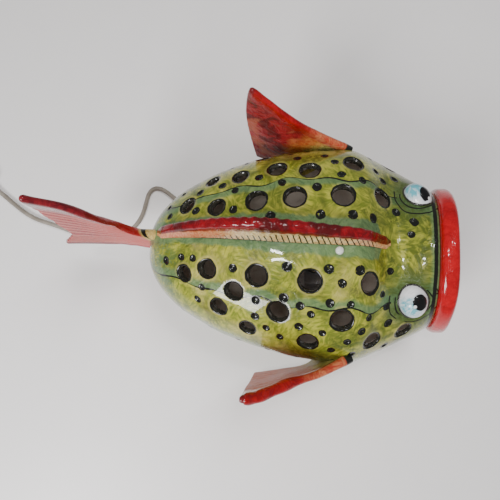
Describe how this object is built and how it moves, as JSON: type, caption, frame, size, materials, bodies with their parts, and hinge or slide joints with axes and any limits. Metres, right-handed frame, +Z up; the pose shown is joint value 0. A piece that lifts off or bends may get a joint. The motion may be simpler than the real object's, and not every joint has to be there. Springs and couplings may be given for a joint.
{
  "type": "fish-shaped table lamp",
  "caption": "Pierced, hand-painted ceramic fish table lamp with fins, forked tail and round lips, a bulb inside, and a mains cord with a switch and a plug.",
  "frame": {"origin": "middle of the lamp's base, on the table, without the free cord", "axes": "+X towards the fish's mouth, +Y to its left side, +Z up"},
  "size_m": [0.6166, 0.259, 0.2122],
  "materials": {
    "glaze_green": "gloss",
    "glaze_red": "gloss",
    "glaze_pink": "gloss",
    "glaze_orange": "gloss",
    "glaze_white": "gloss",
    "rubber": "matte",
    "steel": "zinc plated",
    "black_plastic": "matte",
    "porcelain": "matte",
    "brass": "satin",
    "clear_glass": "clear",
    "filament": "matte",
    "cord_grey": "satin"
  },
  "bodies": {
    "lamp": {"body_shell": "glaze_green", "lip_ring": "glaze_red", "dorsal_fin": "glaze_red", "tail_fin": "glaze_pink", "left_pectoral_fin": "glaze_orange", "right_pectoral_fin": "glaze_orange", "left_eye": "glaze_white", "right_eye": "glaze_white", "foot_pad_front_left": "rubber", "foot_pad_rear_left": "rubber", "foot_pad_rear_right": "rubber", "foot_pad_front_right": "rubber", "coil_tie": "rubber", "steel_bridge": "steel", "bridge_screw_left": "steel", "bridge_nut_left": "steel", "bridge_screw_right": "steel", "bridge_nut_right": "steel", "threaded_nipple": "steel", "nipple_nut_lower": "steel", "nipple_nut_upper": "steel", "switch_screw_1": "steel", "switch_screw_2": "steel", "holder_cap": "black_plastic", "holder_sleeve": "black_plastic", "contact_block": "porcelain", "centre_contact": "brass", "thread_shell": "brass", "plug_pin_left": "brass", "plug_pin_right": "brass", "inner_lead": "cord_grey", "strain_relief": "cord_grey", "cord": "cord_grey", "switch_lower_half": "cord_grey", "switch_upper_half": "cord_grey", "cord_after_switch": "cord_grey", "cord_coil": "cord_grey", "cord_to_plug": "cord_grey", "plug_body": "cord_grey"},
    "bulb": {"bulb_cap": "brass", "bulb_globe": "clear_glass", "filament_stem": "clear_glass", "filament_1": "filament", "filament_2": "filament", "filament_3": "filament", "filament_4": "filament"},
    "switch_rocker": {"switch_rocker": "black_plastic"}
  },
  "joints": [
    {"name": "bulb_turn", "type": "hinge", "parent": "lamp", "child": "bulb", "pos_m": [0.06512, 0.00135, 0.05], "axis": [0, 0, 1], "continuous": true},
    {"name": "switch_press", "type": "hinge", "parent": "lamp", "child": "switch_rocker", "pos_m": [-0.3487, 0.10158, 0.011], "axis": [-0.5861, -0.8102, 0], "range_deg": [0, 16]}
  ]
}
